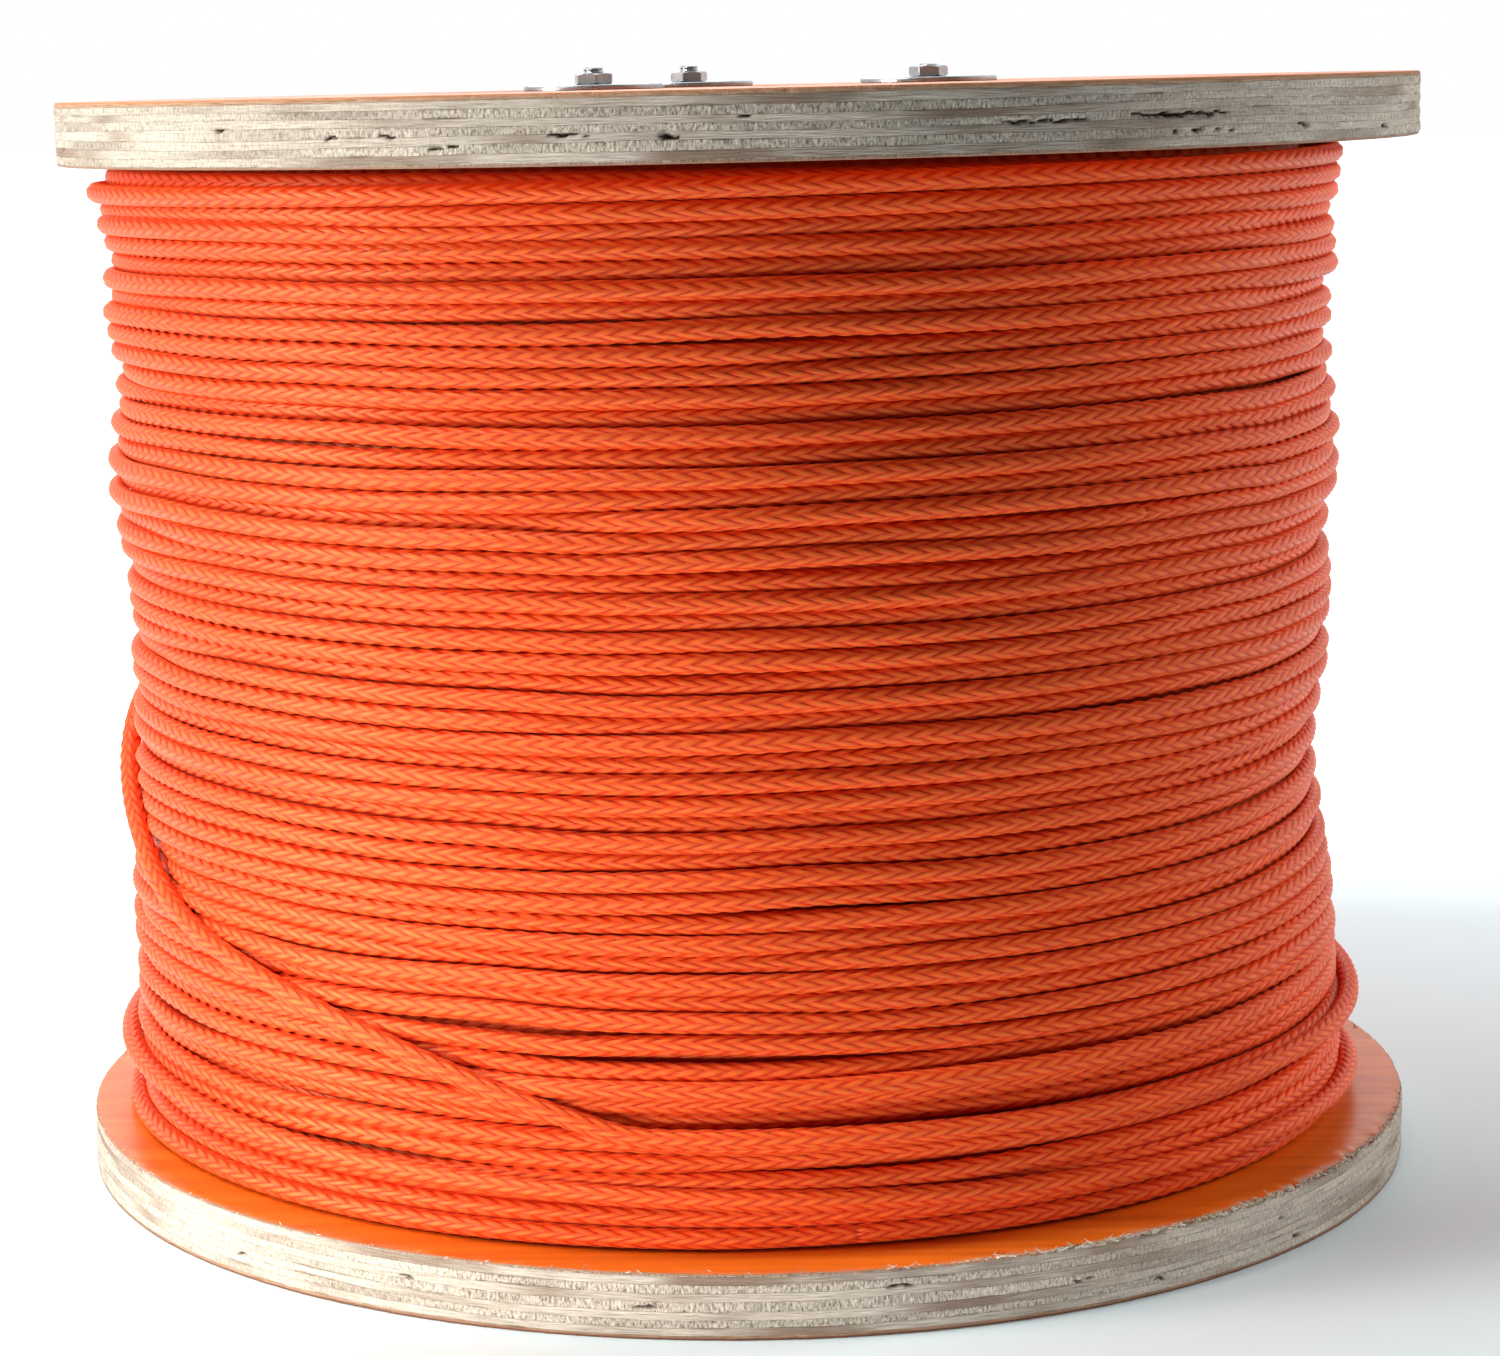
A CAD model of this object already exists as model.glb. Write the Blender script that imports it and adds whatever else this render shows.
import math

import bpy
import numpy as np
from mathutils import Matrix, Vector
from mathutils.geometry import delaunay_2d_cdt


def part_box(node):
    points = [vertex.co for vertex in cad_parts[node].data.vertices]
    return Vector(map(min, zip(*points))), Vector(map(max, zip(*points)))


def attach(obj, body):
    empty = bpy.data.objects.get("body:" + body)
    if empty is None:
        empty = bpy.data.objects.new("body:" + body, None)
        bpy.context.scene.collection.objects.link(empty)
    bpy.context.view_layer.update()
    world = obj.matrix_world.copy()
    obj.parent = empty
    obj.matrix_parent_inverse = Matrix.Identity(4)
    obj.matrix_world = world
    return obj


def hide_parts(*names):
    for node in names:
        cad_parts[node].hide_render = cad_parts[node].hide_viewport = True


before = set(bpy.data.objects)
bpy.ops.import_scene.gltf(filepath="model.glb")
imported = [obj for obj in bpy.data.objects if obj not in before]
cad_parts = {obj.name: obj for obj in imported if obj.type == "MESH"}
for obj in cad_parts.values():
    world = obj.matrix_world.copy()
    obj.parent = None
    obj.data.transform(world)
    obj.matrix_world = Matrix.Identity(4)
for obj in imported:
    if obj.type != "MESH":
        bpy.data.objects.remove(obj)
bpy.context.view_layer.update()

# Looks of a rope reel: plywood flanges, threaded rods with washers and nuts, and a full
# winding of braided line. Lengths here are millimetres, and MM turns them into metres
# where a mesh, a lamp or the camera is made. Angles along the rope are in turns, and the
# rope winds clockwise seen from above.
MM = 0.001

# ---------------------------------------------------------------- sizes from the frame


def span(node):
    """Lowest and highest corner of a CAD node, in millimetres."""
    low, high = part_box(node)
    return np.array(low) / MM, np.array(high) / MM


def centre_of(node):
    low, high = span(node)
    return (low + high) / 2


def half_width(node):
    low, high = span(node)
    return (high[0] - low[0]) / 2


FLANGE_R = span("bottom_flange")[1][0]
FLANGE_T = span("bottom_flange")[1][2]
REEL_H = span("top_flange")[1][2]
INNER_TOP = REEL_H - FLANGE_T
BARREL_R = span("barrel_tube")[1][0]
GROOVE_DEPTH = FLANGE_T - span("barrel_tube")[0][2]
ROD_PLACES = [centre_of(f"tie_rod_{k}")[:2] for k in (1, 2, 3)]
ROD_R = half_width("tie_rod_1")
ROD_BOTTOM = span("tie_rod_1")[0][2]
ROD_TOP = span("tie_rod_1")[1][2]
WASHER_R = half_width("washer_1")
WASHER_T = span("washer_1")[1][2] - REEL_H
NUT_BASE = span("hex_nut_1")[0][2]
NUT_TOP = span("hex_nut_1")[1][2]
TEE_R = half_width("tee_nut_1")
TEE_BOTTOM = span("tee_nut_1")[0][2]
TEE_TOP = span("tee_nut_1")[1][2]

# ---------------------------------------------------------------- sizes of the looks

ARBOR_R = 25.5
BARREL_WALL = 6.0
GROOVE_GAP = 0.25
ROD_HOLE_R = 3.3
TEE_T = 1.4
TEE_SLEEVE_R = 4.2
TEE_GAP = 0.25
NUT_AF = 10.0
# Which way each nut ended up, in degrees
NUT_TURNS = [12, 40, 58]

ROPE_D = 6.0
ROPE_GAP = 0.3
LOWEST = FLANGE_T + ROPE_D / 2 + ROPE_GAP
HIGHEST = INNER_TOP - ROPE_D / 2 - ROPE_GAP
# Bearing where the outer layer starts, at the back, anticlockwise from +X
START_BEARING = 100.0
# Turns of the layer beneath, of the outer layer, and of the rope that lies on it
UNDER_TURNS = 48
OUTER_TURNS = 52.5
LAST_TURNS = 2.5
# Points of the rope's line for each turn
SAMPLES = 240

# The top flange sits a little askew on the pack: rise per millimetre along x and y
LEAN = (0.0122, -0.0046)

# ---------------------------------------------------------------- camera and lights


def link(thing):
    bpy.context.scene.collection.objects.link(thing)


def make_camera():
    """Camera fitted to the flanges' edges, in an image of 1500 by 1356."""
    place = Vector((0.0, -1.1077, 0.3258))
    pitch, yaw, roll = 0.1664, 0.0016, -0.0115
    image_width, focal_px, sensor = 1500, 3683, 36.0
    level = Vector((math.cos(yaw), -math.sin(yaw), 0))
    forward = Vector((math.sin(yaw), math.cos(yaw), 0))
    ahead = math.cos(pitch) * forward - Vector((0, 0, math.sin(pitch)))
    upright = level.cross(ahead)
    right = math.cos(roll) * level + math.sin(roll) * upright
    up = math.cos(roll) * upright - math.sin(roll) * level
    data = bpy.data.cameras.new("camera")
    data.sensor_fit = "HORIZONTAL"
    data.sensor_width = sensor
    data.lens = focal_px * sensor / image_width
    data.clip_start = 0.01
    camera = bpy.data.objects.new("camera", data)
    turn = Matrix((right, up, -ahead)).transposed().to_4x4()
    camera.matrix_world = Matrix.Translation(place) @ turn
    link(camera)
    bpy.context.scene.camera = camera


# Each lamp: azimuth and elevation in degrees and distance in metres from what it lights,
# that point, its own width and height, power and colour
WARM, PLAIN = (1.0, 0.94, 0.84), (1.0, 0.97, 0.92)
MIDDLE, FOOT = (0.0, 0.0, 0.16), (0.0, 0.0, 0.03)
LAMPS = {
    "key": (207, 60, 1.4, MIDDLE, (0.4, 0.5), 11.5, PLAIN),
    "left": (196, 15, 1.4, MIDDLE, (0.4, 0.5), 14.0, WARM),
    "right": (12, 18, 1.4, MIDDLE, (0.4, 0.6), 10.2, PLAIN),
    "back": (100, 35, 1.7, MIDDLE, (0.8, 0.6), 5.0, PLAIN),
    "low": (233, 0, 0.42, FOOT, (0.5, 0.05), 0.74, WARM),
    "foot": (290, 0, 0.40, FOOT, (0.5, 0.04), 0.11, PLAIN),
}
# The gloss of this lamp would whiten the rope that it grazes
NO_GLOSS = "right"
# Light of the white world on what isn't seen straight or in a reflection
AMBIENT = 0.065


def make_lights():
    for name, (azimuth, elevation, distance, target, size, power, colour) in LAMPS.items():
        level, height = math.radians(azimuth), math.radians(elevation)
        out = Vector((math.cos(level), math.sin(level), 0)) * math.cos(height)
        out.z = math.sin(height)
        data = bpy.data.lights.new(name, "AREA")
        data.shape = "RECTANGLE"
        data.size, data.size_y = size
        data.energy = power
        data.color = colour
        lamp = bpy.data.objects.new(name, data)
        lamp.location = Vector(target) + out * distance
        lamp.rotation_euler = (-out).to_track_quat("-Z", "Y").to_euler()
        lamp.visible_camera = False
        lamp.visible_glossy = name != NO_GLOSS
        link(lamp)


# ---------------------------------------------------------------- noise

# Cells after which the noise repeats, along a line and down a band
LINE_CELLS = 4096
BAND_CELLS = 97


def smooth(x):
    u = np.clip(x, 0, 1)
    return u * u * (3 - 2 * u)


def window(x, first, last, climb, fall):
    """From 0 up to 1 after the first place, and down to 0 again before the last."""
    return smooth((x - first) / climb) * smooth((last - x) / fall)


def noise_line(x, wavelength, seed):
    """Seeded smooth noise along a line, from -1 to 1."""
    table = np.random.default_rng(seed).uniform(-1, 1, LINE_CELLS)
    cell = np.asarray(x) / wavelength
    i = np.floor(cell).astype(int)
    f = smooth(cell - i)
    return table[i % LINE_CELLS] * (1 - f) + table[(i + 1) % LINE_CELLS] * f


def noise_band(x, y, around, seed):
    """Seeded smooth noise on a band, from -1 to 1. x closes on itself after around cells."""
    table = np.random.default_rng(seed).uniform(-1, 1, (BAND_CELLS, around))
    i, j = np.floor(x).astype(int), np.floor(y).astype(int)
    f, g = smooth(x - i), smooth(y - j)

    def row(number):
        cells = table[number % BAND_CELLS, i % around], table[number % BAND_CELLS, (i + 1) % around]
        return cells[0] * (1 - f) + cells[1] * f

    return row(j) * (1 - g) + row(j + 1) * g


# ---------------------------------------------------------------- meshes


def build(name, points, face_sets, materials, uvs=None, material_sets=None, flat_sets=()):
    """Mesh object from points in millimetres and arrays of faces of one size each."""

    def each_face(values, kind):
        return np.concatenate([np.full(len(f), v) for f, v in zip(face_sets, values)]).astype(kind)

    mesh = bpy.data.meshes.new(name)
    sizes = each_face([f.shape[1] for f in face_sets], np.int32)
    corners = np.concatenate([f.ravel() for f in face_sets]).astype(np.int32)
    mesh.vertices.add(len(points))
    mesh.vertices.foreach_set("co", (np.asarray(points) * MM).astype(np.float32).ravel())
    mesh.loops.add(len(corners))
    mesh.loops.foreach_set("vertex_index", corners)
    mesh.polygons.add(len(sizes))
    mesh.polygons.foreach_set("loop_start", (np.cumsum(sizes) - sizes).astype(np.int32))
    if uvs is not None:
        layer = mesh.uv_layers.new(name="UVMap")
        layer.data.foreach_set("uv", np.concatenate(uvs).astype(np.float32).ravel())
    for material in materials:
        mesh.materials.append(material)
    if material_sets:
        mesh.polygons.foreach_set("material_index", each_face(material_sets, np.int32))
    rounded = [k not in flat_sets for k in range(len(face_sets))]
    mesh.polygons.foreach_set("use_smooth", each_face(rounded, bool))
    mesh.update(calc_edges=True)
    mesh.validate()
    piece = bpy.data.objects.new(name, mesh)
    link(piece)
    return piece


def lean(points):
    """Points that follow the top flange's tilt, which fades out down to the bottom flange."""
    share = np.clip((points[..., 2] - FLANGE_T) / (INNER_TOP - FLANGE_T), 0, 1)
    rise = (LEAN[0] * points[..., 0] + LEAN[1] * points[..., 1]) * share
    leaned = np.array(points, float)
    leaned[..., 2] += rise
    return leaned


def place(piece, slot, *nodes):
    """The piece rides on the reel, takes that slot's finish and stands for those nodes."""
    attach(piece, "root")
    if nodes:
        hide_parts(*nodes)


def ring_strips(rows, columns, closed_rows=False):
    """Quads between neighbouring rows of a grid whose columns close on themselves."""
    a = np.arange(rows if closed_rows else rows - 1)[:, None] * columns
    k = np.arange(columns)[None, :]
    next_k = (k + 1) % columns
    b = (a + columns) % (rows * columns)
    return np.stack([a + k, a + next_k, b + next_k, b + k], -1).reshape(-1, 4)


def corner_map(us, vs):
    """Map coordinates of the four corners of each quad, from an array for each corner."""
    spread = np.broadcast_arrays(*us, *vs)
    return np.stack([np.stack(spread[:4], -1), np.stack(spread[4:], -1)], -1).reshape(-1, 2)


def circle(radius, count, centre=(0, 0)):
    angle = 2 * np.pi * np.arange(count) / count
    return np.stack([centre[0] + radius * np.cos(angle), centre[1] + radius * np.sin(angle)], -1)


# ---------------------------------------------------------------- the rope's way


def along(stations, x):
    """Smooth curve through stations, level at both ends."""
    xs, ys = np.array(stations, float).T
    slopes = np.zeros(len(xs))
    slopes[1:-1] = (ys[2:] - ys[:-2]) / (xs[2:] - xs[:-2])
    i = np.clip(np.searchsorted(xs, x) - 1, 0, len(xs) - 2)
    w = xs[i + 1] - xs[i]
    u = np.clip((x - xs[i]) / w, 0, 1)
    a, b, rise = slopes[i] * w, slopes[i + 1] * w, ys[i + 1] - ys[i]
    return ys[i] + a * u + (3 * rise - 2 * a - b) * u**2 + (a + b - 2 * rise) * u**3


def level_ends(x, turns):
    """Steady climb from 0 to 1 that starts and ends level."""
    e = 0.5 / turns
    k = 1 / (1 - e)
    middle = k * (x - e / 2)
    first = k * x * x / (2 * e)
    last = 1 - k * (1 - x) ** 2 / (2 * e)
    return np.where(x < e, first, np.where(x > 1 - e, last, middle))


# Radius of the outer turns' line, by height: the pack bulges and draws in
OUTER_SHAPE = [
    (18, 179.6), (45, 180.6), (62, 179.5), (80, 179.2), (98, 177.4), (126, 175.4), (150, 177.0),
    (172, 177.0), (188, 177.6), (204, 180.4), (220, 179.8), (240, 177.6), (256, 178.6),
    (267, 179.8), (278, 178.6), (291, 181.8), (300, 182.2),
]
# How far the pack lies off the reel's axis, towards -X, by height
PACK_SHIFT = [
    (18, 1.5), (45, 2.6), (62, 3.2), (80, 4.0), (100, 5.0), (125, 5.8), (150, 4.2), (172, 3.6),
    (190, 5.2), (240, 5.0), (256, 6.4), (270, 4.9), (284, 6.3), (300, 7.5),
]
# How far beneath it the next layer down lies
UNDER_DROP = 6.4
# Centres of turns that touch: the rope is soft, so less than its diameter
TOUCH = 5.56
# Turns of the outer layer with no turn drawn in between them, at its start and at its end
EVEN_TURNS = 1.4
# Places where two turns lie apart: bearing, height, half the width in degrees, opening
OPENINGS = [
    (292, 282, 14, 0.9), (254, 264, 12, 1.2), (277, 255, 14, 1.3), (236, 232, 10, 1.0),
    (300, 210, 16, 1.2), (284, 199, 14, 1.6), (268, 173, 10, 1.2), (280, 152, 18, 0.9),
    (300, 126, 16, 1.2), (274, 110, 10, 1.2), (250, 78, 9, 2.6), (268, 75, 12, 2.2),
    (275, 52, 14, 1.4), (285, 41, 12, 1.6), (230, 25, 12, 1.4), (222, 50, 10, 2.4),
    (205, 64, 9, 2.2), (236, 40, 9, 2.0), (312, 160, 14, 1.2), (325, 236, 14, 1.2),
    (215, 190, 14, 1.2), (60, 240, 16, 1.4), (130, 120, 14, 1.4), (20, 90, 16, 1.2),
]
# A turn of the outer layer that stands proud: height, bearings from and to, rise, and the
# shares of a turn over which it climbs and sinks again
PROUD = (63, 243, 342, 4.4)
PROUD_CLIMBS, PROUD_SINKS = 0.08, 0.035
# How far the other turns stand in and out, and how far they lie apart or change in thickness
UNEVEN = 0.35
LOOSE = 0.22
THICKER = 0.012
# Steepest step from a turn to the next: their height apart, as a share of TOUCH
STEEPEST = 0.55
# Gaussian blur of the finished line, in samples
LINE_BLUR = 1.5
# The deepest that a turn may slip in, and halvings of that range until the stack fits
DEEPEST = 4.0
HALVINGS = 30
# Turns over which broad waves are averaged, and the share of them that is taken out
BROAD_TURNS = 2.6
BROAD_REACH = 6
BROAD_SHARE = 0.8
# The last turns climb to this height and stay there, then one crosses the pack: angle
# since the crossing begins, and height above that
LAST_LEVEL = 28
LAST_RISE = (180, 627)
CROSSING_ANGLE = 737
CROSSING = [(0, 0), (8, 6), (22, 19), (36, 30), (54, 43), (68, 62), (90, 90), (163, 115)]
# The crossing turn is taut: it presses the turns beneath in by SUNK, as far as SUNK_REACH
# to its sides, and is itself flattened by TAUT_FLAT; any two turns flatten each other by FLAT
SUNK = 2.0
SUNK_REACH = 5
TAUT_FLAT = 0.9
FLAT = 0.4


def bearing_of(turns):
    return START_BEARING - 360 * turns


def turn_at(bearing, z):
    """Turn of the outer layer that passes a bearing nearest to a height."""
    share = (START_BEARING - bearing) % 360 / 360
    wanted = (HIGHEST - z) / (HIGHEST - LOWEST) * OUTER_TURNS
    return round(wanted - share) + share


def blur(values, radius):
    """Gaussian mean along the rope, with its ends kept."""
    reach = int(radius * 3)
    kernel = np.exp(-0.5 * (np.arange(-reach, reach + 1) / radius) ** 2)
    padded = np.concatenate([np.full(reach, values[0]), values, np.full(reach, values[-1])])
    return np.convolve(padded, kernel / kernel.sum(), "valid")


def under_layer():
    """Heights and radii of the layer beneath, from the bottom up; it ends where the outer starts."""
    turns = np.arange(UNDER_TURNS * SAMPLES + 1) / SAMPLES
    z = LOWEST + (HIGHEST - LOWEST) * level_ends(turns / UNDER_TURNS, UNDER_TURNS)
    z += 0.5 * noise_line(turns, 0.17, seed=11) * window(turns, 0, UNDER_TURNS, 1, 1)
    r = along(OUTER_SHAPE, z) - UNDER_DROP + 0.3 * noise_line(turns, 0.21, seed=12)
    return z, r


def drawn_in(turns):
    """How far a turn has slipped in between its neighbours, and never two side by side."""
    wander = noise_line(turns, 0.31, seed=3) + 0.5 * noise_line(turns, 0.13, seed=4)
    slipped = smooth((wander + 0.26) / 0.34)
    slipped *= window(turns, EVEN_TURNS, OUTER_TURNS - EVEN_TURNS, 1 / 3, 1 / 3)
    for first in range(SAMPLES, len(turns), SAMPLES):
        row = slice(first, min(first + SAMPLES, len(turns)))
        slipped[row] *= 1 - slipped[first - SAMPLES : row.stop - SAMPLES]
    return slipped * (0.95 + 0.25 * noise_line(turns, 0.4, seed=8))


def outer_layer():
    """The outer layer: too many turns for the height, so some slip in and let the rest close up.

    At each bearing the turns are stacked from the top down, each touching the one above,
    and how deep the slipped turns lie is solved so that the stack fills the reel.
    """
    count = int(OUTER_TURNS * SAMPLES) + 1
    turns = np.arange(count) / SAMPLES
    rows = count // SAMPLES + 1
    share = np.arange(SAMPLES) / SAMPLES

    def grid(values):
        padded = np.concatenate([values, np.full(rows * SAMPLES - count, values[-1])])
        return padded.reshape(rows, SAMPLES)

    height, b0, b1, rise = PROUD
    t0, t1 = turn_at(b0, height), turn_at(b1, height)
    raised = window(turns, t1, t0, PROUD_CLIMBS, PROUD_SINKS)
    slipped = grid(drawn_in(turns) * (1 - raised))
    proud = grid(rise * raised + UNEVEN * noise_line(turns, 0.19, seed=5))
    opening = LOOSE * np.maximum(noise_line(turns, 0.27, seed=6), 0)
    for bearing, z0, width, size in OPENINGS:
        opening += size * np.exp(-(((turns - turn_at(bearing, z0)) * 360 / width) ** 2))
    opening = grid(opening)[:-1]
    touch = grid(TOUCH * (1 + THICKER * noise_line(turns, 0.15, seed=7)))[:-1]
    last_row = (np.arange(SAMPLES) <= OUTER_TURNS % 1 * SAMPLES).astype(float)
    used = np.ones((rows - 1, SAMPLES))
    used[-1] = last_row
    start = HIGHEST - TOUCH * smooth(share)
    end = LOWEST + np.where(last_row > 0, 0, TOUCH * (1 - smooth((share - OUTER_TURNS % 1) / 0.5)))

    def spacing(depth):
        step = np.diff(proud - depth * slipped, axis=0)
        return (np.sqrt(np.maximum(touch**2 - step**2, (STEEPEST * touch) ** 2)) + opening) * used

    low, high = np.zeros(SAMPLES), np.full(SAMPLES, DEEPEST)
    for _ in range(HALVINGS):
        depth = (low + high) / 2
        too_tall = spacing(depth).sum(0) > start - end
        low, high = np.where(too_tall, depth, low), np.where(too_tall, high, depth)
    steps = spacing(depth)
    steps *= (start - end) / steps.sum(0)
    z = start - np.concatenate([np.zeros((1, SAMPLES)), np.cumsum(steps, 0)])
    z = z.ravel()[:count]
    # Broad waves are taken out, as the turns were laid by a machine
    away = z - HIGHEST - (LOWEST - HIGHEST) * level_ends(turns / OUTER_TURNS, OUTER_TURNS)
    beyond = np.zeros(BROAD_REACH * SAMPLES)
    padded = np.concatenate([beyond, away, beyond])
    offsets = range(-BROAD_REACH, BROAD_REACH + 1)
    weights = {k: math.exp(-0.5 * (k / BROAD_TURNS) ** 2) for k in offsets}
    wave = sum(w * padded[(BROAD_REACH + k) * SAMPLES :][:count] for k, w in weights.items())
    fade = window(turns, 1, OUTER_TURNS - 1, 3, 3)
    z = blur(z - BROAD_SHARE * fade * wave / sum(weights.values()), LINE_BLUR)
    offset = (proud - depth * slipped).ravel()[:count]
    return z, along(OUTER_SHAPE, z) + blur(offset, LINE_BLUR)


def last_turns(z, r):
    """The rope goes on over its own outer layer; each point is laid on what is beneath it."""
    begin = len(z)
    count = int(LAST_TURNS * SAMPLES)
    angle = np.arange(1, count + 1) * 360 / SAMPLES
    first, last = LAST_RISE
    level = LAST_LEVEL * smooth((angle - first) / (last - first))
    wander = 1.3 * noise_line(angle / 360, 0.17, seed=14)
    wander *= window(angle, 0, CROSSING_ANGLE, 60, 40)
    laid = LOWEST + level + np.maximum(wander, -level) + along(CROSSING, angle - CROSSING_ANGLE)
    z = np.concatenate([z, laid])
    r = np.concatenate([r, np.full(count, r[-1])])
    taut = smooth((angle - CROSSING_ANGLE - 20) / 30)
    for i in range(begin, begin + count):
        beneath = np.arange(i - SAMPLES, 0, -SAMPLES)
        off = np.abs(z[beneath] - z[i])
        r[beneath] -= SUNK * taut[i - begin] * np.exp(-((off / SUNK_REACH) ** 2))
        apart = ROPE_D - FLAT - TAUT_FLAT * taut[i - begin]
        touched = off < apart
        if touched.any():
            r[i] = max(r[i], (r[beneath[touched]] + np.sqrt(apart**2 - off[touched] ** 2)).max())
    kept = r[begin:].copy()
    for _ in range(3):
        kept = np.maximum(blur(kept, 5), r[begin:] - 0.5)
    kept = blur(kept, 3)
    lead = smooth(angle / 14)
    return z, np.concatenate([r[:begin], r[begin - 1] * (1 - lead) + kept * lead])


# ---------------------------------------------------------------- braided tubes

# Length of rope in which a strand goes once round, and the strands each way
LAY = 49.0
STRANDS = 8
# Points round the tube, two for each strand, and the length from one ring to the next
AROUND = 2 * STRANDS
RING_STEP = LAY / (2 * AROUND)
# Relief of the braid: how far strands wave in and out, and how round they are
WAVE = 0.24
ROUND = 0.42
ROUND_POWER = 2.4
BASE_RADIAL = 2.40
BASE_LATERAL = 2.26


def braid_relief(p, q):
    """Height of the upper strand where strands p one way and q the other way cross."""
    i, j = np.floor(p + 1e-6), np.floor(q + 1e-6)

    def strand(wave, off):
        return wave + ROUND * (1 - np.abs(2 * off - 1) ** ROUND_POWER)

    one = strand(WAVE * np.sin(np.pi / 2 * (q + i)), p - i)
    return np.maximum(one, strand(-WAVE * np.sin(np.pi / 2 * (p + j)), q - j))


def cylinder_points(turns, z, r):
    angle = np.radians(bearing_of(turns))
    return np.stack([r * np.cos(angle) - along(PACK_SHIFT, z), r * np.sin(angle), z], -1)


def travelled(points):
    """Length of a line up to each of its points."""
    return np.concatenate([[0], np.cumsum(np.linalg.norm(np.diff(points, axis=0), axis=1))])


def resample(points, spacing, values):
    """Values along a line, at equal steps of its length."""
    lengths = travelled(points)
    at = np.arange(0, lengths[-1], spacing)
    return [np.interp(at, lengths, value) for value in values]


def unit(vectors):
    return vectors / np.linalg.norm(vectors, axis=-1, keepdims=True)


def rings_round(points, outward, out, across):
    """Rings round a line: how far each point lies outward of it, and to its side."""
    tangent = unit(np.gradient(points, axis=0))
    normal = unit(outward - tangent * (outward * tangent).sum(1)[:, None])
    side = np.cross(tangent, normal)
    return points[:, None] + out[..., None] * normal[:, None] + across[..., None] * side[:, None]


def close_tube(name, points, surface, quads, quad_uv, rims, material):
    """Tube with its two ends closed to the line's end points."""
    body = surface.reshape(-1, 3)
    everything = np.concatenate([body, points[[0]], points[[-1]]])
    caps = []
    for k, rim in enumerate(rims):
        cap = np.stack([rim, np.roll(rim, -1), np.full(len(rim), len(body) + k)], -1)
        caps.append(cap if k else cap[:, ::-1])
    cap_uv = [np.zeros((len(cap) * 3, 2)) for cap in caps]
    return build(name, everything, [quads] + caps, [material], uvs=[quad_uv] + cap_uv)


def braid_tube(name, points, outward, material, start=0, twist=0.0, scale=1.0):
    """Closed tube on a lattice that follows the strands. start is the first ring's number."""
    count = len(points)
    ring = np.arange(start, start + count)
    u = (2 * np.arange(AROUND)[None, :] + (ring % 2)[:, None]) / (2 * AROUND)
    w = ring[:, None] / (2 * AROUND)
    relief = braid_relief(STRANDS * (u - w % 1), STRANDS * (u + w % 1))
    twist, scale = (np.broadcast_to(value, count)[:, None] for value in (twist, scale))
    angle = 2 * np.pi * (u + twist)
    out = (BASE_RADIAL + relief) * np.cos(angle) * scale
    across = (BASE_LATERAL + relief) * np.sin(angle) * scale
    surface = rings_round(points, outward, out, across)

    k = np.arange(AROUND)[None, :]
    row = np.arange(count - 2)[:, None] * AROUND
    odd = (ring[:-2] % 2)[:, None]
    ahead, behind = (k + odd) % AROUND, (k + odd - 1) % AROUND
    corners = [row + k, row + AROUND + ahead, row + 2 * AROUND + k, row + AROUND + behind]
    quads = np.stack(corners, -1).reshape(-1, 4)
    step = 1 / (2 * AROUND)
    u0 = (2 * k + odd) * step
    w0 = (ring[:-2] * step % 1)[:, None]
    quad_uv = corner_map([u0, u0 + step, u0, u0 - step], [w0, w0 + step, w0 + 2 * step, w0 + step])
    rims = []
    for first in (0, count - 2):
        zigzag = np.empty(2 * AROUND, int)
        zigzag[0::2] = first * AROUND + k[0]
        zigzag[1::2] = (first + 1) * AROUND + (k[0] + ring[first] % 2) % AROUND
        rims.append(zigzag)
    return close_tube(name, points, surface, quads, quad_uv, rims, material)


def plain_tube(name, points, outward, material, sides, radius):
    """Closed round tube whose map carries the braid's pattern."""
    x, y = circle(radius, sides).T
    surface = rings_round(points, outward, x[None, :], y[None, :])
    steps = travelled(points) / LAY
    low = (steps[:-1] % 1)[:, None]
    high = low + np.diff(steps)[:, None]
    k = np.arange(sides)[None, :]
    left, right = k / sides, (k + 1) / sides
    quad_uv = corner_map([left, right, right, left], [low, low, high, high])
    rims = [first * sides + k[0] for first in (0, len(points) - 1)]
    quads = ring_strips(len(points), sides)
    return close_tube(name, points, surface, quads, quad_uv, rims, material)


# ---------------------------------------------------------------- shader graphs


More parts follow.
